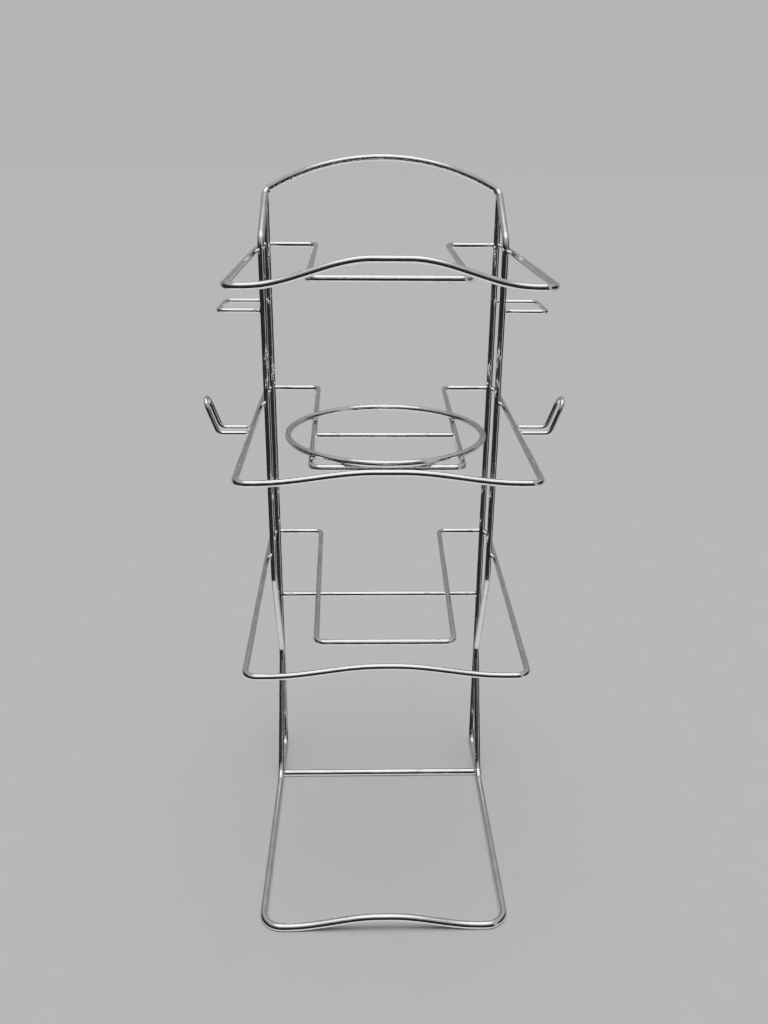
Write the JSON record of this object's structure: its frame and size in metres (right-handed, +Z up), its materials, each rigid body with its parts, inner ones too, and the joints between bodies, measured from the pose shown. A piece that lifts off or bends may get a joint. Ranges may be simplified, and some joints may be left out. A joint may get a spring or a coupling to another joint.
{
  "type": "tabletop valet stand",
  "caption": "Small tabletop valet stand of bent chrome wire: a double frame with a flat foot and an arched top carries open tiers with waved fronts, a ring, side bars and side hooks.",
  "frame": {"origin": "bottom centre of the whole stand's box, on the table", "axes": "+Z up, -Y towards the front where the tiers reach out, +X to the viewer's right when facing the front"},
  "size_m": [0.239, 0.2265, 0.5022],
  "materials": {
    "chrome_wire": "bright plated, slightly worn"
  },
  "bodies": {
    "root": {"front_frame": "chrome_wire", "rear_frame": "chrome_wire", "rear_cross_rod": "chrome_wire", "upper_tier": "chrome_wire", "middle_tier": "chrome_wire", "lower_tier": "chrome_wire", "ring": "chrome_wire", "ring_support_rod": "chrome_wire", "left_bar": "chrome_wire", "right_bar": "chrome_wire", "left_hook": "chrome_wire", "right_hook": "chrome_wire"}
  },
  "joints": []
}
